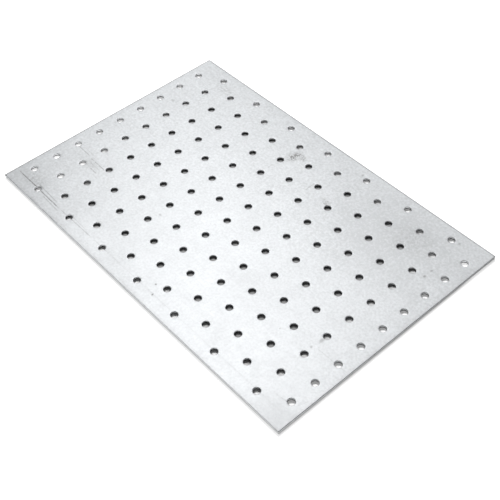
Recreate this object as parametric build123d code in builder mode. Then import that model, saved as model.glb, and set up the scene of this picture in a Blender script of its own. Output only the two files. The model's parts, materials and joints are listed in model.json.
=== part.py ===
"""Perforated nail plate: one flat sheet of galvanised steel, punched with staggered nail holes.

It is nailed or screwed flat over a joint between timbers. Nothing is folded, welded or fitted to it.
Frame: millimetres, +Z up. The origin is the middle of the face that lies on the timber, X runs along
the plate and Y across it. The holes are punched from the top, so each has a rounded mouth on the top
face, a straight land that guides the nail, and a slightly wider broken-out stretch at the bottom.
"""

import os
from math import atan, degrees

from build123d import *

# ---------------------------------------------------------------- driving dimensions (mm)

plate_length = 300.0  # along X
plate_width = 200.0  # along Y
plate_thickness = 2.0  # sheet gauge with its zinc coat
corner_radius = 0.4  # sheared corners are square, only dulled
edge_rollover = 0.20  # the shear draws the top edge down by this radius

hole_diameter = 5.0  # for 4 mm ring-shank nails or 5 mm screws
row_pitch = 20.0  # along X, from one row of holes to the next
hole_pitch = 20.0  # along Y, within a row
least_end_margin = 10.0  # from a short edge to the centres of the first row
least_side_margin = 10.0  # from a long edge to the outermost hole centres

mouth_rollover = 0.20  # radius that the punch draws the rim down by
breakout_depth = 0.70  # height of the broken-out stretch above the bottom face
breakout_width = 0.10  # how much wider the hole's radius is at the bottom face

# ---------------------------------------------------------------- hole pattern

rows = 1 + int((plate_length - 2 * least_end_margin) / row_pitch)
holes_in_full_row = 1 + int((plate_width - 2 * least_side_margin) / hole_pitch)
first_row_x = -(rows - 1) * row_pitch / 2


def holes_in_row(row):
    """Rows alternate: the first has one hole less than a full row, so its holes fall half a pitch between."""
    return holes_in_full_row - 1 + row % 2


def punch_sketch(radius):
    """One circle for each hole of the whole staggered pattern, in the sketch that is open."""
    for row in range(rows):
        with Locations((first_row_x + row * row_pitch, 0)):
            with GridLocations(row_pitch, hole_pitch, 1, holes_in_row(row)):
                Circle(radius)


# ---------------------------------------------------------------- the plate

os.makedirs("parts", exist_ok=True)

with BuildPart() as nail_plate:
    # blank, sheared to size
    with BuildSketch() as blank:
        Rectangle(plate_length, plate_width)
        fillet(blank.vertices(), radius=corner_radius)
    extrude(amount=plate_thickness)

    # nail holes: the straight land goes right through, and the breakout widens it from below
    with BuildSketch(Plane.XY):
        punch_sketch(hole_diameter / 2)
    extrude(amount=plate_thickness, mode=Mode.SUBTRACT)
    with BuildSketch(Plane.XY):
        punch_sketch(hole_diameter / 2 + breakout_width)
    extrude(
        amount=breakout_depth,
        taper=degrees(atan(breakout_width / breakout_depth)),
        mode=Mode.SUBTRACT,
    )

    # the punch and the shear both come from the top, and draw the edges there down a little
    top_face = nail_plate.faces().sort_by(Axis.Z)[-1]
    fillet([e for wire in top_face.inner_wires() for e in wire.edges()], radius=mouth_rollover)
    top_face = nail_plate.faces().sort_by(Axis.Z)[-1]
    fillet(top_face.outer_wire().edges(), radius=edge_rollover)

nail_plate.part.label = "nail_plate"
export_step(nail_plate.part, "parts/nail_plate.step")

hole_count = sum(holes_in_row(row) for row in range(rows))
print(f"{rows} rows, {hole_count} nail holes, {nail_plate.part.volume / 1000:.1f} cm3")
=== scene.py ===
"""The looks of the perforated nail plate: one punched, galvanised steel sheet on a white sweep.

The sheet is rebuilt here as one fine closed mesh on the CAD model's own outline and hole pattern, with the
shapes that shearing and punching leave: drawn-down rims, a bright land, a torn breakout. The outline, the
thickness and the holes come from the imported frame. Lengths are in metres, like the frame's, and MM turns
millimetres into them.
"""

import json
import math

import bpy
from mathutils import Matrix, Vector, noise


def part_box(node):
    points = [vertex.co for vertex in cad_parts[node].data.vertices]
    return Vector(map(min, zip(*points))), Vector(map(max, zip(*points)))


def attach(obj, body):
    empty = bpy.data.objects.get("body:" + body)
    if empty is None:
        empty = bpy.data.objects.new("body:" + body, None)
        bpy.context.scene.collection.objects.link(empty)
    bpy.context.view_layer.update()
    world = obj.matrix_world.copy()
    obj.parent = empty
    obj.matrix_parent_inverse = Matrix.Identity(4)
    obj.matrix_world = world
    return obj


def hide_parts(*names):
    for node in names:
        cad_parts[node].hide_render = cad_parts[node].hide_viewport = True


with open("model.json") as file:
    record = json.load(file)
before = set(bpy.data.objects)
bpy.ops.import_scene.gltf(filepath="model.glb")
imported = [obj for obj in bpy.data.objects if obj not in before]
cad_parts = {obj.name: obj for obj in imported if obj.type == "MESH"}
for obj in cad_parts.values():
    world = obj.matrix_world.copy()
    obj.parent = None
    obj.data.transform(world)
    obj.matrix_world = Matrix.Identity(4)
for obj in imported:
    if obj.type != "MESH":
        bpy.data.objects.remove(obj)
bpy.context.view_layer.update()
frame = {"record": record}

NODE = "nail_plate"
BODY = "root"
MM = 0.001

# ---------------------------------------------------------------- sizes from the frame

plate_low, plate_high = (Vector(corner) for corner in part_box(NODE))
LENGTH = plate_high.x - plate_low.x
WIDTH = plate_high.y - plate_low.y
TOP = plate_high.z
BOTTOM = plate_low.z
BOLT_PATTERNS = [mount for mount in frame["record"]["mounts"] if mount["kind"] == "bolt_pattern"]
HOLE_RADIUS = BOLT_PATTERNS[0]["dims"]["hole_r_mm"] * MM


def hole_centres():
    """Every nail hole's (x, y), from the record's bolt patterns, row by row along X."""
    rows = {}
    for pattern in BOLT_PATTERNS:
        half_x = pattern["dims"].get("spacing_x_mm", 0) * MM / 2
        half_y = pattern["dims"].get("spacing_y_mm", 0) * MM / 2
        for x in (-half_x, half_x):
            for y in (-half_y, half_y):
                place = (round(pattern["pos_m"][0] + x, 6), round(pattern["pos_m"][1] + y, 6))
                rows.setdefault(place[0], set()).add(place[1])
    return {x: sorted(rows[x]) for x in sorted(rows)}


ROWS = hole_centres()
ROW_XS = list(ROWS)
PITCH = ROW_XS[1] - ROW_XS[0]

# ---------------------------------------------------------------- how the sheet is meshed

STEP = 2.0 * MM  # spacing of the vertices between the holes and along the edges
CELL_STEPS = round(PITCH / STEP)  # steps along one side of the square cell round each hole
AROUND = 4 * CELL_STEPS  # vertices round a hole, one for each vertex of its cell's outline
STEPS_X = round(LENGTH / STEP)
STEPS_Y = round(WIDTH / STEP)
CORNER_RADIUS = 0.5 * MM
LEAST_CORNER = 0.02 * MM
CORNER_POINTS = 4
BLEND = 0.4  # how far the ring between a hole's mouth and its cell has gone from round to square

# (radius beyond the land, height below the top face): the mouth that the punch draws down
MOUTH = [(0.00, 0.62), (0.04, 0.30), (0.11, 0.13), (0.26, 0.045), (0.52, 0.010), (1.10, 0.0)]
# (radius beyond the land, height above the bottom face, how ragged): the torn breakout below the land
BREAKOUT = [(0.00, 0.95, 1.0), (0.035, 0.78, 0.9), (0.07, 0.38, 0.5), (0.09, 0.03, 0.3)]
# (radius beyond the land, height above the bottom face): the punch's fine burr and the face round it
BURR = [(0.12, -0.05), (0.24, 0.0), (1.00, 0.0)]
# (inset from the outline, height below the top face): the sheared edge's drawn-down rim
EDGE_ROLL = [(0.80, 0.0), (0.45, 0.02), (0.22, 0.06), (0.09, 0.12), (0.02, 0.22), (0.0, 0.34)]
# (inset, height above the bottom face, how ragged): the sheared edge's land, its torn part and its burr
EDGE_TEAR = [
    (0.0, 0.95, 1.0), (0.03, 0.82, 1.0), (0.05, 0.45, 0.6),
    (0.08, 0.03, 0.3), (0.10, -0.04, 0.0), (0.22, 0.0, 0.0),
]
RAGGED = 0.16 * MM  # how far the top of the torn part wanders up and down
SPREAD = 0.15  # how far it wanders in and out, as a share of that
EDGE_SEED, HOLE_SEED = 5.0, 1.0
COARSE_TEAR, FINE_TEAR = 320.0, 900.0  # wanders per metre
FINE_SHARE = 0.6
WAVE = 0.10 * MM  # a rolled sheet is never quite flat
WAVE_EASE = 25 * MM  # the width along the outline in which the wave dies away
LONG_WAVE = (9.0, 12.0, 3.7)  # waves per metre along X and Y, and the seed
SHORT_WAVE = (26.0, 21.0, 8.1)
SHORT_SHARE = 0.5

# material slots: the face, the land and the torn part of the holes (near black, partly painted shade), of
# the long edges and of the cut ends (with painted shade along Y), and the rolled rim (darkened with painted
# shade)
ZINC, LAND, TORN_AND_SHADE, SHEARED, BROKEN, END_SHEARED, END_BROKEN, RIM_PAINTED_SHADE = range(8)


def eased(value):
    """0 to 1 with soft ends."""
    share = min(max(value, 0.0), 1.0)
    return share * share * (3 - 2 * share)


def inset_of(x, y):
    """How far a place lies inside the plate's outline."""
    return min(LENGTH / 2 - abs(x), WIDTH / 2 - abs(y))


def ripple(x, y, waves):
    return noise.noise(Vector((x * waves[0], y * waves[1], waves[2])))


def wave(x, y):
    """How far the sheet lies off its plane: a long, shallow ripple that dies away at the outline."""
    height = ripple(x, y, LONG_WAVE) + SHORT_SHARE * ripple(x, y, SHORT_WAVE)
    return WAVE * eased(inset_of(x, y) / WAVE_EASE) * height


def ragged(x, y, seed):
    """A repeatable wander, mostly between -1 and 1, along a torn edge."""
    place = Vector((x, y, seed))
    return noise.noise(place * COARSE_TEAR) + FINE_SHARE * noise.noise(place * FINE_TEAR)


class Sheet:
    """Collects the vertices and faces of the plate."""

    def __init__(self):
        self.verts, self.faces, self.slots = [], [], []
        self.lattice = {}  # for the top and for the bottom: the vertices at each (column, row)

    def add(self, x, y, z):
        self.verts.append((x, y, z))
        return len(self.verts) - 1

    def face(self, corners, slot):
        self.faces.append(corners)
        self.slots.append(slot)

    def band(self, ring_a, ring_b, slot):
        """Quads between two closed rings of the same length.

        Seen from outside the sheet, ring_a is the upper or outer one.
        """
        count = len(ring_a)
        for k in range(count):
            n = (k + 1) % count
            self.face((ring_b[k], ring_b[n], ring_a[n], ring_a[k]), slot)


def outline(inset):
    """The plate's outline, inset, anticlockwise from above: (x, y, lattice key).

    A corner has several points with one key.
    """
    points = []
    half = (LENGTH / 2, WIDTH / 2)
    corner_signs = [(1, -1), (1, 1), (-1, 1), (-1, -1)]
    for index, (sx, sy) in enumerate(corner_signs):
        # the corner's arc
        radius = max(CORNER_RADIUS - inset, LEAST_CORNER)
        centre = (sx * (half[0] - inset - radius), sy * (half[1] - inset - radius))
        start = -math.pi / 2 + index * math.pi / 2
        key = (STEPS_X if sx > 0 else 0, STEPS_Y if sy > 0 else 0)
        for k in range(CORNER_POINTS):
            angle = start + math.pi / 2 * k / (CORNER_POINTS - 1)
            x = centre[0] + radius * math.cos(angle)
            y = centre[1] + radius * math.sin(angle)
            points.append((x, y, key))
        # the straight side that follows it
        if index % 2 == 0:
            for k in range(1, STEPS_Y):
                row = k if sx > 0 else STEPS_Y - k
                points.append((sx * (half[0] - inset), -half[1] + row * STEP, (key[0], row)))
        else:
            for k in range(1, STEPS_X):
                column = STEPS_X - k if sy > 0 else k
                points.append((-half[0] + column * STEP, sy * (half[1] - inset), (column, key[1])))
    return points


def edge_loop(sheet, inset_mm, height, tear=0.0):
    """One loop of vertices round the plate's edge. Returns its indices, and notes them by lattice key."""
    loop, by_key = [], {}
    for x, y, key in outline(inset_mm * MM):
        z = height + tear * RAGGED * ragged(x, y, EDGE_SEED)
        index = sheet.add(x, y, z)
        loop.append(index)
        by_key.setdefault(key, []).append(index)
    return loop, by_key


def lattice_corner(sheet, side, column, row):
    """The vertex, or at the plate's own corners the few vertices, of one face's lattice point."""
    key = (column, row)
    known = sheet.lattice[side]
    if key not in known:
        x, y = plate_low.x + column * STEP, plate_low.y + row * STEP
        height = TOP + wave(x, y) if side == "top" else BOTTOM
        known[key] = [sheet.add(x, y, height)]
    return known[key]


def flat_face(sheet, side, corners):
    """A face on the top or the bottom, from lattice points given anticlockwise from above."""
    indices = [i for corner in corners for i in lattice_corner(sheet, side, *corner)]
    sheet.face(tuple(indices if side == "top" else reversed(indices)), ZINC)


def cell_outline(column, row):
    """The lattice points round a hole's square cell, anticlockwise from the middle of its +X side."""
    half = CELL_STEPS // 2
    points = [(half, k) for k in range(0, half)]
    points += [(half - k, half) for k in range(0, CELL_STEPS)]
    points += [(-half, half - k) for k in range(0, CELL_STEPS)]
    points += [(-half + k, -half) for k in range(0, CELL_STEPS)]
    points += [(half, -half + k) for k in range(0, half)]
    return [(column + p[0], row + p[1]) for p in points]


def ring(sheet, centre, radius, height, tear=0.0, waved=False):
    """A ring of vertices round a hole. A torn ring wanders up and down and in and out."""
    loop = []
    for k in range(AROUND):
        angle = 2 * math.pi * k / AROUND
        x, y = centre[0] + radius * math.cos(angle), centre[1] + radius * math.sin(angle)
        wander = tear * ragged(x, y, HOLE_SEED)
        spread = radius + SPREAD * RAGGED * wander
        x, y = centre[0] + spread * math.cos(angle), centre[1] + spread * math.sin(angle)
        lift = wave(x, y) if waved else 0.0
        loop.append(sheet.add(x, y, height + RAGGED * wander + lift))
    return loop


def blend_ring(sheet, centre, radius, outer):
    """A ring on the top face, part of the way from a circle to the cell's square outline."""
    loop = []
    for k in range(AROUND):
        angle = 2 * math.pi * k / AROUND
        corner = sheet.verts[outer[k]]
        x = (1 - BLEND) * (centre[0] + radius * math.cos(angle)) + BLEND * corner[0]
        y = (1 - BLEND) * (centre[1] + radius * math.sin(angle)) + BLEND * corner[1]
        loop.append(sheet.add(x, y, TOP + wave(x, y)))
    return loop


def punch(sheet, x, y):
    """One nail hole with the square cell of sheet round it, top to bottom."""
    column, row = round((x - plate_low.x) / STEP), round((y - plate_low.y) / STEP)
    around = cell_outline(column, row)
    outer_top = [lattice_corner(sheet, "top", *p)[0] for p in around]
    outer_bottom = [lattice_corner(sheet, "bottom", *p)[0] for p in around]

    mouth = [ring(sheet, (x, y), HOLE_RADIUS + r * MM, TOP - drop * MM, waved=True) for r, drop in MOUTH]
    blend = blend_ring(sheet, (x, y), HOLE_RADIUS + MOUTH[-1][0] * MM, outer_top)
    rings = mouth + [blend, outer_top]
    for inner, outer in zip(rings, rings[1:]):
        sheet.band(inner, outer, ZINC)

    torn = [ring(sheet, (x, y), HOLE_RADIUS + r * MM, BOTTOM + up * MM, tear) for r, up, tear in BREAKOUT]
    sheet.band(torn[0], mouth[0], LAND)
    # the torn bands get a near-black material: partly the dull torn steel, partly painted shade deep in the
    # hole
    for lower, upper in zip(torn[1:], torn):
        sheet.band(lower, upper, TORN_AND_SHADE)

    below = [ring(sheet, (x, y), HOLE_RADIUS + r * MM, BOTTOM + up * MM) for r, up in BURR]
    for outer, inner in zip(below + [outer_bottom], [torn[-1]] + below):
        sheet.band(outer, inner, ZINC)


def fill_between(sheet, column_low, column_high, row_low, row_high):
    """Plain squares of sheet where a row has no hole."""
    for column in range(column_low, column_high):
        for row in range(row_low, row_high):
            corners = [(column, row), (column + 1, row), (column + 1, row + 1), (column, row + 1)]
            flat_face(sheet, "top", corners)
            flat_face(sheet, "bottom", corners)


def edge_slot(number, x, y):
    """The material slot of a face of the edge: by its band, counted from the top, and by its side."""
    last_roll = len(EDGE_ROLL) - 1
    at_end = abs(x) > LENGTH / 2 - MM
    far = x < MM - LENGTH / 2 or y > WIDTH / 2 - MM
    if far and number == 1:
        return TORN_AND_SHADE  # painted shade: a dark line along the two far rims
    # painted shade: the rim on the far sides, and the lower roll on the ends, get a dark material
    if (far or (at_end and number > 1)) and number < last_roll:
        return RIM_PAINTED_SHADE
    if number < last_roll - 1:
        return ZINC
    if number <= last_roll:
        return END_SHEARED if at_end else SHEARED
    return END_BROKEN if at_end else BROKEN


def make_edge(sheet):
    """The rim, land, torn part and burr round the plate. Notes its rings on the top and bottom lattices."""
    loops = []
    for number, (inset, drop) in enumerate(EDGE_ROLL):
        loop, by_key = edge_loop(sheet, inset, TOP - drop * MM)
        loops.append(loop)
        if number == 0:
            sheet.lattice["top"] = by_key
    for inset, up, tear in EDGE_TEAR:
        loop, by_key = edge_loop(sheet, inset, BOTTOM + up * MM, tear)
        loops.append(loop)
    sheet.lattice["bottom"] = by_key
    for number, (upper, lower) in enumerate(zip(loops, loops[1:])):
        first = len(sheet.faces)
        sheet.band(upper, lower, ZINC)
        # a band runs round all four sides, so its faces get their slots one by one
        for index in range(first, len(sheet.faces)):
            x, y, _ = sheet.verts[sheet.faces[index][0]]
            sheet.slots[index] = edge_slot(number, x, y)


def make_plate():
    """The whole plate as one closed mesh."""
    sheet = Sheet()
    make_edge(sheet)
    half = CELL_STEPS // 2
    for x, ys in ROWS.items():
        column = round((x - plate_low.x) / STEP)
        reached = 0
        for y in ys:
            row = round((y - plate_low.y) / STEP)
            fill_between(sheet, column - half, column + half, reached, row - half)
            punch(sheet, x, y)
            reached = row + half
        fill_between(sheet, column - half, column + half, reached, STEPS_Y)
    return sheet


# ---------------------------------------------------------------- material tools


class Nodes:
    """Short ways to build a material's nodes."""

    def __init__(self, name):
        self.material = bpy.data.materials.new(name)
        self.material.use_nodes = True
        self.tree = self.material.node_tree
        self.tree.nodes.clear()
        self.shader = self.tree.nodes.new("ShaderNodeBsdfPrincipled")
        out = self.tree.nodes.new("ShaderNodeOutputMaterial")
        self.tree.links.new(self.shader.outputs["BSDF"], out.inputs["Surface"])
        coordinates = self.tree.nodes.new("ShaderNodeTexCoord")
        self.place = self.mapped(coordinates.outputs["Object"], (1 / MM,) * 3)

    def new(self, kind, values=None, **settings):
        node = self.tree.nodes.new("ShaderNode" + kind)
        for key, value in settings.items():
            setattr(node, key, value)
        for key, value in (values or {}).items():
            if isinstance(value, bpy.types.NodeSocket):
                self.tree.links.new(value, node.inputs[key])
            else:
                node.inputs[key].default_value = value
        return node

    def mapped(self, vector, scale, location=(0, 0, 0)):
        values = {"Vector": vector, "Scale": scale, "Location": location}
        return self.new("Mapping", values).outputs["Vector"]

    def math(self, operation, a, b=0.0, c=0.0, clamp=False):
        return self.new("Math", {0: a, 1: b, 2: c}, operation=operation, use_clamp=clamp).outputs[0]

    def noise(self, scale, detail=3.0, roughness=0.5, stretch=(1, 1, 1), shift=(0, 0, 0), distortion=0.0):
        """Noise from 0 to 1, with scale in features per millimetre."""
        values = {"Vector": self.mapped(self.place, stretch, shift), "Scale": scale, "Detail": detail,
                  "Roughness": roughness, "Distortion": distortion}
        return self.new("TexNoise", values).outputs[0]

    def steps(self, value, low, high, to_low=0.0, to_high=1.0, smooth=True):
        """value from low..high eased to to_low..to_high."""
        values = {"Value": value, "From Min": low, "From Max": high, "To Min": to_low, "To Max": to_high}
        node = self.new("MapRange", values)
        node.interpolation_type = "SMOOTHSTEP" if smooth else "LINEAR"
        return node.outputs[0]

    def mix(self, share, a, b):
        node = self.new("Mix", data_type="RGBA")
        for socket, value in (("Factor_Float", share), ("A_Color", a), ("B_Color", b)):
            target = next(s for s in node.inputs if s.identifier == socket)
            if isinstance(value, bpy.types.NodeSocket):
                self.tree.links.new(value, target)
            else:
                target.default_value = value
        return next(s for s in node.outputs if s.identifier == "Result_Color")

    def local(self, centre, turn, half_size):
        """Coordinates that run from -1 to 1 over a turned box. Centre and half sizes are in mm."""
        values = {"Vector": self.place, "Location": (*centre, 0),
                  "Rotation": (0, 0, turn), "Scale": half_size}
        return self.new("Mapping", values, vector_type="TEXTURE").outputs["Vector"]

    def mark(self, start, end, width):
        """1 inside a straight mark between two (x, y) places, in mm, fading to 0 at its sides and ends."""
        run, rise = end[0] - start[0], end[1] - start[1]
        middle = ((start[0] + end[0]) / 2, (start[1] + end[1]) / 2)
        local = self.local(middle, math.atan2(rise, run), (math.hypot(run, rise) / 2, width / 2, 1))
        away = self.new("VectorMath", {0: local}, operation="ABSOLUTE").outputs[0]
        along, across, _ = self.new("SeparateXYZ", {"Vector": away}).outputs
        return self.math("MULTIPLY", self.steps(along, 1, MARK_END), self.steps(across, 1, MARK_SIDE))

    def spot(self, centre, size, turn=0.0):
        """1 in the middle of an ellipse, fading to 0 at its rim. Places and sizes are in mm."""
        local = self.local(centre, math.radians(turn), (size[0] / 2, size[1] / 2, FAR))
        away = self.new("VectorMath", {0: local}, operation="LENGTH").outputs["Value"]
        return self.steps(away, 1, SPOT_MIDDLE)

    def most(self, masks):
        """The strongest of several (mask, strength) pairs at each place."""
        total = None
        for mask, strength in masks:
            mask = self.math("MULTIPLY", mask, strength)
            total = mask if total is None else self.math("MAXIMUM", total, mask)
        return total

    def varied(self, base, layers):
        """The base plus each (layer, strength) pair's swing about the layer's middle value of one half."""
        total = base
        for layer, strength in layers:
            total = self.math("MULTIPLY_ADD", self.math("SUBTRACT", layer, 0.5), strength, total)
        return total

    def bump(self, height, distance):
        return self.new("Bump", {"Height": height, "Distance": distance}).outputs[0]

    def set(self, **sockets):
        """Shader sockets by name, with underscores for spaces."""
        for key, value in sockets.items():
            socket = self.shader.inputs[key.replace("_", " ")]
            if isinstance(value, bpy.types.NodeSocket):
                self.tree.links.new(value, socket)
            else:
                socket.default_value = value


FAR = 1000.0  # a size that takes a coordinate out of play
MARK_END, MARK_SIDE = 0.75, 0.2  # how far from its middle a mark starts to fade, along it and across it
SPOT_MIDDLE = 0.15  # and a spot

# wear on the top face. Scratches: start, end, width in mm, strength
SCRATCHES = [
    ((-147, -89.4), (-119, -89.6), 1.3, 1.00), ((-125, -89.7), (-92, -90.1), 1.2, 1.00),
    ((-126, -86.6), (-97, -87.9), 0.9, 0.60), ((-112, -91.6), (-90, -92.4), 0.9, 0.50),
    ((-92, -90.0), (-52, -89.7), 0.8, 0.60), ((-84, -87.6), (-62, -88.2), 0.7, 0.35),
    ((-52, -89.6), (-20, -89.6), 0.7, 0.30), ((-30, -89.7), (142, -89.2), 0.7, 0.20),
    ((-139, -41.0), (-122, -41.6), 1.1, 0.60), ((-121, -42.4), (-101, -42.9), 1.1, 0.70),
    ((-117, -45.4), (-103, -45.9), 0.9, 0.50), ((-113, -49.0), (-103, -49.4), 1.1, 0.65),
    ((-134, -38.6), (-112, -39.4), 0.6, 0.30), ((-108, -51.6), (-96, -52.2), 0.6, 0.30),
    ((122, -41.2), (149, -40.8), 0.8, 0.35), ((15.6, 61), (15.9, 51), 0.9, 0.65),
    ((-20.4, 53), (-20.2, 47), 0.8, 0.55), ((41, -38), (42, -46), 0.8, 0.22),
    ((129, -83), (144, -81), 0.7, 0.40), ((144, -81), (147, -72), 0.6, 0.25),
    ((60, 12), (96, 30), 0.5, 0.14), ((-70, 34), (-52, 71), 0.5, 0.12), ((-25, -62), (22, -55), 0.5, 0.12),
]
# Spots: centre, size in mm, strength
SPOTS = [
    ((11.6, -83), (2.2, 2.0), 0.95), ((17.0, -90), (1.6, 3.0), 0.90), ((95, -47.6), (1.5, 1.5), 0.55),
    ((34, 92), (2.5, 4), 0.45), ((126, 91), (2.5, 3), 0.45), ((-37, -41), (4.0, 2.5), 0.40),
    ((-130, 45), (5, 4), 0.35), ((129, 59), (2.5, 4), 0.50), ((129, 52), (3.0, 4), 0.60),
    ((120, -35), (4, 7), 0.40), ((119, -43), (3, 3), 0.45),
]
# Stains, broken up by flecks: centre, size in mm, turn in degrees, strength
STAINS = [
    ((-15, 70), (13, 22), -20, 0.90), ((-9, 73), (6, 10), 35, 0.80), ((35, 53), (14, 8), 0, 0.55),
    ((-112, 84), (26, 11), 0, 0.30), ((-117, -46), (30, 16), 0, 0.25), ((100, 70), (60, 40), 20, 0.22),
    ((-130, -86), (40, 18), 0, 0.28),
]
# Painted shade and painted highlight: broad, faint patches where the sheet's reflection looks darker or
# lighter. Centre, size in mm, how much lighter
PAINTED_LIGHT_PATCHES = [
    ((88, 62), (150, 120), -0.38), ((146, -96), (60, 44), -0.50),
    ((-60, -92), (70, 40), 0.25), ((60, -36), (80, 50), -0.15),
]


ZINC_DARK, ZINC_LIGHT = (0.432, 0.441, 0.450, 1), (0.566, 0.580, 0.592, 1)
WORN = (0.20, 0.195, 0.19, 1)
WEAR_STARTS = (0.8, 0.9)  # shares of the thickness: none below the first, all of it above the second
SCRATCH_FLECKS = (0.36, 0.56)  # how strong the flecks are where a scratch is faint, and where it is whole
SCRATCH_LEAST = 0.25
STAIN_FLECKS = (0.43, 0.60)  # the same for a stain, which is gone between the flecks
SCRATCH_DEPTH = 1.5
FACET_HEIGHT = 0.2
ZINC_ROUGHNESS, WORN_ROUGHER = 0.40, 0.15
ZINC_BUMP, LAND_BUMP, TORN_BUMP = 0.014 * MM, 0.02 * MM, 0.05 * MM


def top_face(n):
    """1 on the top face and 0 below it."""
    height = n.new("SeparateXYZ", {"Vector": n.place}).outputs[2]
    low, high = WEAR_STARTS
    return n.steps(height, low * TOP / MM, high * TOP / MM)


def wear(n):
    """How worn each place of the top face is, and how scratched."""
    flecks = n.noise(0.75, detail=3.0, roughness=0.7, shift=(3, 30, 0))
    scratch = n.most([(n.mark(start, end, width), strength) for start, end, width, strength in SCRATCHES])
    scratch = n.math("MULTIPLY", scratch, n.steps(flecks, *SCRATCH_FLECKS, SCRATCH_LEAST, 1.0))
    stain = n.most([(n.spot(centre, size, turn), strength) for centre, size, turn, strength in STAINS])
    stain = n.math("MULTIPLY", stain, n.steps(flecks, *STAIN_FLECKS))
    spots = n.most([(n.spot(centre, size), strength) for centre, size, strength in SPOTS])
    worn = n.math("MAXIMUM", scratch, n.math("MAXIMUM", stain, spots))
    return n.math("MULTIPLY", worn, top_face(n)), scratch


def zinc_material():
    """Continuously galvanised sheet: light grey, frosted, with a fine spangle and a faint rolling grain."""
    n = Nodes("zinc_coat")
    fine = n.noise(0.55, detail=4.0, roughness=0.62)
    mottle = n.noise(0.20, detail=5.0, roughness=0.65, shift=(13, 4, 0), distortion=0.4)
    cloud = n.noise(0.04, detail=4.0, shift=(40, 9, 0))
    grain = n.noise(0.8, detail=2.0, stretch=(0.03, 1, 1), shift=(5, 2, 0))
    cells = {"Vector": n.place, "Scale": 0.55, "Smoothness": 0.35, "Randomness": 1.0}
    spangle = n.new("TexVoronoi", cells, feature="SMOOTH_F1")
    facet = n.new("SeparateColor", {"Color": spangle.outputs["Color"]}).outputs[0]

    tone = n.varied(0.0, [(mottle, 0.85), (fine, 2.50), (facet, 0.22), (grain, 0.25), (cloud, 0.40)])
    # painted shade and painted highlight, in broad patches
    for centre, size, strength in PAINTED_LIGHT_PATCHES:
        tone = n.math("MULTIPLY_ADD", n.spot(centre, size), strength, tone)
    colour = n.mix(n.math("ADD", tone, 0.5, clamp=True), ZINC_DARK, ZINC_LIGHT)
    worn, scratch = wear(n)
    colour = n.mix(worn, colour, WORN)

    rough = n.varied(ZINC_ROUGHNESS, [(fine, 0.16), (facet, 0.04)])
    rough = n.math("MULTIPLY_ADD", worn, WORN_ROUGHER, rough)
    height = n.math("MULTIPLY_ADD", facet, FACET_HEIGHT, fine)
    height = n.math("MULTIPLY_ADD", scratch, -SCRATCH_DEPTH, height)
    n.set(Base_Color=colour, Roughness=rough, Metallic=1.0, Normal=n.bump(height, ZINC_BUMP))
    return n.material


def painted_shade_along_y(n, colour, shade_ramp):
    """The colour, scaled along Y from the first value to the second: painted shade, lighter at one end and
    darker at the other.
    """
    across = n.new("SeparateXYZ", {"Vector": n.place}).outputs[1]
    scale = n.steps(across, plate_low.y / MM, plate_high.y / MM, *shade_ramp, smooth=False)
    return n.new("VectorMath", {0: colour, "Scale": scale}, operation="SCALE").outputs[0]


def land_material(name, dark, light, shade_ramp=None):
    """The land that a punch or a shear burnishes: steel with zinc smeared down it."""
    n = Nodes(name)
    streak = n.noise(1.6, detail=3.0, stretch=(1, 1, 0.08))
    colour = n.mix(streak, dark, light)
    if shade_ramp:
        colour = painted_shade_along_y(n, colour, shade_ramp)
    rough = n.steps(streak, 0.2, 0.8, 0.24, 0.42)
    n.set(Base_Color=colour, Roughness=rough, Metallic=1.0, Normal=n.bump(streak, LAND_BUMP))
    return n.material


def torn_material(name, dark, light, shade_ramp=None):
    """The torn part of a sheared or punched edge: dull and grainy."""
    n = Nodes(name)
    grain = n.noise(3.0, detail=4.0, roughness=0.7)
    colour = n.mix(grain, dark, light)
    if shade_ramp:
        colour = painted_shade_along_y(n, colour, shade_ramp)
    rough = n.steps(grain, 0.2, 0.8, 0.5, 0.7)
    n.set(Base_Color=colour, Roughness=rough, Metallic=0.85, Normal=n.bump(grain, TORN_BUMP))
    return n.material


END_SHADE_RAMP = (1.02, 0.45)  # painted shade on the cut ends: how bright they are, from the -Y corner to the +Y corner


def plate_materials():
    """One material for each slot, in the slots' order."""
    return [
        zinc_material(),
        land_material("hole_land", (0.76, 0.77, 0.78, 1), (0.94, 0.95, 0.96, 1)),
        # the holes' torn breakout: near black, partly its own dull torn steel and partly painted shade deep
        # in the hole
        torn_material("hole_breakout_and_shade", (0.04, 0.042, 0.044, 1), (0.12, 0.123, 0.126, 1)),
        land_material("sheared_land", (0.58, 0.59, 0.60, 1), (0.84, 0.85, 0.86, 1)),
        torn_material("sheared_breakout", (0.24, 0.245, 0.25, 1), (0.52, 0.525, 0.53, 1)),
        # the cut ends: the long edges' materials again, with painted shade ramped along Y
        land_material("end_land", (0.58, 0.59, 0.60, 1), (0.84, 0.85, 0.86, 1), END_SHADE_RAMP),
        torn_material("end_breakout", (0.24, 0.245, 0.25, 1), (0.52, 0.525, 0.53, 1), END_SHADE_RAMP),
        # the rim's dark material is painted shade
        land_material("rim_painted_shade", (0.17, 0.172, 0.175, 1), (0.33, 0.335, 0.34, 1)),
    ]


def mesh_object(name, verts, faces, slots, materials):
    mesh = bpy.data.meshes.new(name)
    mesh.from_pydata(verts, [], faces)
    for material in materials:
        mesh.materials.append(material)
    mesh.polygons.foreach_set("material_index", slots)
    mesh.polygons.foreach_set("use_smooth", [True] * len(faces))
    mesh.validate()
    obj = bpy.data.objects.new(name, mesh)
    bpy.context.scene.collection.objects.link(obj)
    return obj


# ---------------------------------------------------------------- the plate

sheet = make_plate()
plate = mesh_object("perforated_sheet", sheet.verts, sheet.faces, sheet.slots, plate_materials())
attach(plate, BODY)
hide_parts(NODE)

# ---------------------------------------------------------------- studio

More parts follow.
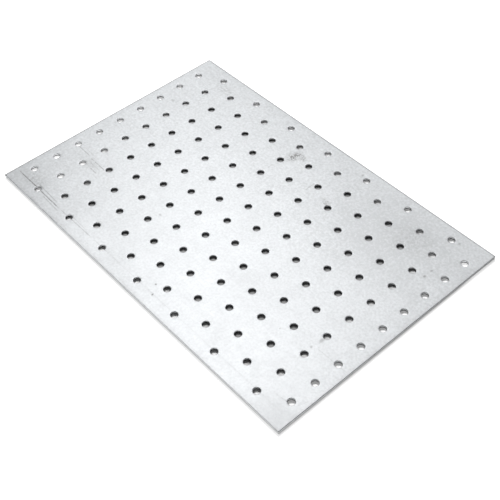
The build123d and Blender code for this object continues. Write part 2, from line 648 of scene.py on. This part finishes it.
FLOOR_SIZE = 6.0
FLOOR_CELLS = (60, 40)  # under the plate, along X and Y
FLOOR_GAP = 0.15 * MM  # clears the burrs
LIFT = 0.45 * MM  # the sheet bears on its middle, so its edges stand a little off the paper
LIFT_WIDTH = 32 * MM
# how pale the paper is beside the plate, and under its edges and its middle; the grey under the middle is
# painted shade
PAPER_BESIDE, PAPER_EDGE, PAPER_MIDDLE_SHADE = 0.30, 0.70, 0.20
PAPER_SPECK = (0.98, 1.02)
PAPER_ROUGHNESS = 0.9
GLOW = 0.75  # the sweep is lit from behind as well, so that it stays white beside the plate
# For each side of the plate: how strong the painted light glowing under it is, and three pairs of insets in
# mm. Between them the pale paper under the plate gives way to the grey of painted shade, the glow beside
# the plate dies away, so that a contact shadow shows, partly painted by that fade, and the painted light
# under the plate dies away.
SIDES = {
    "-X": {"pale": (14, 40), "beside": (-3, 0), "under": 0.42, "reach": (4, 36)},
    "+X": {"pale": (14, 44), "beside": (-1.2, 1.0), "under": 0.22, "reach": (12, 22)},
    "-Y": {"pale": (12, 26), "beside": (-0.4, 1.5), "under": 0.00, "reach": (0, 10)},
    "+Y": {"pale": (12, 26), "beside": (-3, 0), "under": 0.20, "reach": (12, 24)},
}
# Painted light: the glow under the plate reaches furthest in at two corners: centre, size in mm, strength
GLOW_CORNERS = [((-136, -58), (84, 116), 0.75), ((146, 84), (84, 76), 0.60)]


def paper_height(x, y):
    return BOTTOM - FLOOR_GAP - LIFT * (1 - eased(inset_of(x, y) / LIFT_WIDTH))


def side_insets(n):
    """The inset from each side of the plate, in mm, in the order of SIDES."""
    x, y, _ = n.new("SeparateXYZ", {"Vector": n.place}).outputs
    half_x, half_y = LENGTH / 2 / MM, WIDTH / 2 / MM
    axes = [(x, 1, half_x), (x, -1, half_x), (y, 1, half_y), (y, -1, half_y)]
    return [n.math("MULTIPLY_ADD", *axis) for axis in axes]


def paper_material():
    """White paper. Its glow dies away under the plate, save for painted light under the plate's edges and
    two corners, and it turns grey under the plate's middle: painted shade.
    """
    n = Nodes("paper_sweep")
    speck = n.noise(0.01, detail=2.0)
    insets = side_insets(n)

    def from_sides(key):
        """For each side, 1 at that side fading to 0 between its two insets."""
        return [n.steps(inset, *side[key], 1.0, 0.0) for inset, side in zip(insets, SIDES.values())]

    beside = n.most([(mask, 1) for mask in from_sides("beside")])
    pale = n.most([(mask, 1) for mask in from_sides("pale")])
    # painted shade: the paper turns grey under the plate's middle
    shade = n.steps(pale, 0, 1, PAPER_MIDDLE_SHADE, PAPER_EDGE)
    shade = n.math("MULTIPLY_ADD", beside, n.math("SUBTRACT", PAPER_BESIDE, shade), shade)
    shade = n.math("MULTIPLY", shade, n.steps(speck, 0, 1, *PAPER_SPECK))
    colour = n.new("CombineColor", {0: shade, 1: shade, 2: shade}).outputs[0]

    glows = [(beside, GLOW)]
    # painted light under the plate's corners and edges
    glows += [(n.spot(centre, size), strength) for centre, size, strength in GLOW_CORNERS]
    glows += [(mask, side["under"]) for mask, side in zip(from_sides("reach"), SIDES.values())]
    n.set(Base_Color=colour, Roughness=PAPER_ROUGHNESS, Metallic=0.0)
    n.set(Emission_Color=(1, 1, 1, 1), Emission_Strength=n.most(glows))
    return n.material


def make_floor():
    """A large white sweep, which bears on the middle of the plate."""
    cells_x, cells_y = FLOOR_CELLS
    near_x = [-LENGTH / 2 + LENGTH * k / cells_x for k in range(cells_x + 1)]
    near_y = [-WIDTH / 2 + WIDTH * k / cells_y for k in range(cells_y + 1)]
    xs = [-FLOOR_SIZE / 2] + near_x + [FLOOR_SIZE / 2]
    ys = [-FLOOR_SIZE / 2] + near_y + [FLOOR_SIZE / 2]
    verts = [(x, y, paper_height(x, y)) for x in xs for y in ys]
    faces = []
    for i in range(len(xs) - 1):
        for j in range(len(ys) - 1):
            a = i * len(ys) + j
            faces.append((a, a + len(ys), a + len(ys) + 1, a + 1))
    floor = mesh_object("floor", verts, faces, [0] * len(faces), [paper_material()])
    return floor


# Soft boxes: name, bearing from +X towards +Y, height above the horizon, both in degrees, and brightness
SOFT_BOXES = [
    ("key_softbox", 150, 50, 2.75), ("overhead_softbox", 140, 70, 3.20), ("back_softbox", 220, 60, 2.00),
    ("left_softbox", 170, 50, 0.40), ("centre_softbox", 130, 50, 0.65), ("right_softbox", 110, 50, 1.40),
    ("low_softbox", 150, 30, 0.80), ("centre_low_softbox", 130, 30, 0.30),
    ("right_low_softbox", 110, 30, 0.85), ("edge_softbox", 235, 27, 0.60),
]
SWEEP_BOXES = [("sweep_softbox", 140, 52, 46.0)]  # lights only the paper, and the others only the plate
WORLD_COLOUR = (0.985, 0.995, 1.0, 1)
WALL_LIGHT, CEILING_LIGHT = 0.62, 0.14  # the studio's walls are pale and its ceiling dark
WALL_TOP = (0.48, 0.74)  # sines of the elevations between which the walls give way to the ceiling
WINDOW_BEARING = -45  # degrees from +X towards +Y: the middle of a wall with low windows
WINDOW_LIGHT = 0.48  # how much brighter that wall is
WINDOW_SIDES = (0.15, 0.75)  # cosines of the angles from its middle between which that light comes up
WINDOW_TOP = (0.30, 0.46)  # sines of the elevations between which it dies away
BOX_SIZE = 0.53
BOX_DISTANCE = 1.5


def lit_alone(obj):
    """A collection with only this object in it, for the lights that light nothing else."""
    collection = bpy.data.collections.new("lit_" + obj.name)
    collection.objects.link(obj)
    return collection


def area_light(name, azimuth, elevation, brightness, lit):
    """A soft box that faces the plate and lights one collection."""
    a, e = math.radians(azimuth), math.radians(elevation)
    away = Vector((math.cos(a) * math.cos(e), math.sin(a) * math.cos(e), math.sin(e)))
    light = bpy.data.lights.new(name, "AREA")
    light.shape = "SQUARE"
    light.size = BOX_SIZE
    light.energy = brightness * math.pi * BOX_SIZE ** 2
    obj = bpy.data.objects.new(name, light)
    obj.location = away * BOX_DISTANCE
    obj.rotation_mode = "QUATERNION"
    obj.rotation_quaternion = away.to_track_quat("Z", "Y")
    obj.light_linking.receiver_collection = lit
    bpy.context.scene.collection.objects.link(obj)


def make_lights(floor):
    """Soft boxes for the plate, which mirrors them, and others for the floor alone."""
    for boxes, obj in ((SOFT_BOXES, plate), (SWEEP_BOXES, floor)):
        lit = lit_alone(obj)
        for box in boxes:
            area_light(*box, lit)


def make_world():
    """Pale walls under a dark ceiling, and one brighter wall with low windows."""
    world = bpy.data.worlds.new("studio")
    world.use_nodes = True
    nodes, links = world.node_tree.nodes, world.node_tree.links

    def fade(value, ends, low, high):
        node = nodes.new("ShaderNodeMapRange")
        node.interpolation_type = "SMOOTHSTEP"
        for socket, number in zip(("From Min", "From Max", "To Min", "To Max"), (*ends, low, high)):
            node.inputs[socket].default_value = number
        links.new(value, node.inputs["Value"])
        return node.outputs[0]

    place = nodes.new("ShaderNodeTexCoord").outputs["Generated"]
    height = nodes.new("ShaderNodeSeparateXYZ")
    links.new(place, height.inputs[0])
    towards = nodes.new("ShaderNodeVectorMath")
    towards.operation = "DOT_PRODUCT"
    bearing = math.radians(WINDOW_BEARING)
    towards.inputs[1].default_value = (math.cos(bearing), math.sin(bearing), 0)
    links.new(place, towards.inputs[0])

    walls = fade(height.outputs["Z"], WALL_TOP, WALL_LIGHT, CEILING_LIGHT)
    side = fade(towards.outputs["Value"], WINDOW_SIDES, 0, WINDOW_LIGHT)
    below = fade(height.outputs["Z"], WINDOW_TOP, 1, 0)
    total = nodes.new("ShaderNodeMath")
    total.operation = "MULTIPLY_ADD"
    for index, value in enumerate((side, below, walls)):
        links.new(value, total.inputs[index])
    background = nodes["Background"]
    background.inputs["Color"].default_value = WORLD_COLOUR
    links.new(total.outputs[0], background.inputs["Strength"])
    bpy.context.scene.world = world


CAMERA_AZIMUTH = 50.25  # degrees, 0 looks along +Y
CAMERA_ELEVATION = 48.25
CAMERA_ROLL = 2.67
CAMERA_DISTANCE = 0.6615
CAMERA_LENS = 69.2
CAMERA_AIM = (0.0305, -0.0157, 0.0)
CAMERA_CLIP = (0.01, 50)


def make_camera():
    a, e = math.radians(CAMERA_AZIMUTH), math.radians(CAMERA_ELEVATION)
    back = Vector((math.sin(a) * math.cos(e), -math.cos(a) * math.cos(e), math.sin(e)))
    data = bpy.data.cameras.new("camera")
    data.lens = CAMERA_LENS
    data.clip_start, data.clip_end = CAMERA_CLIP
    camera = bpy.data.objects.new("camera", data)
    roll = Matrix.Rotation(math.radians(-CAMERA_ROLL), 3, "Z")
    turn = (-back).to_track_quat("-Z", "Y").to_matrix() @ roll
    camera.rotation_mode = "QUATERNION"
    camera.rotation_quaternion = turn.to_quaternion()
    camera.location = Vector(CAMERA_AIM) + back * CAMERA_DISTANCE
    bpy.context.scene.collection.objects.link(camera)
    bpy.context.scene.camera = camera


make_lights(make_floor())
make_world()
make_camera()
bpy.context.scene.view_settings.view_transform = "Standard"
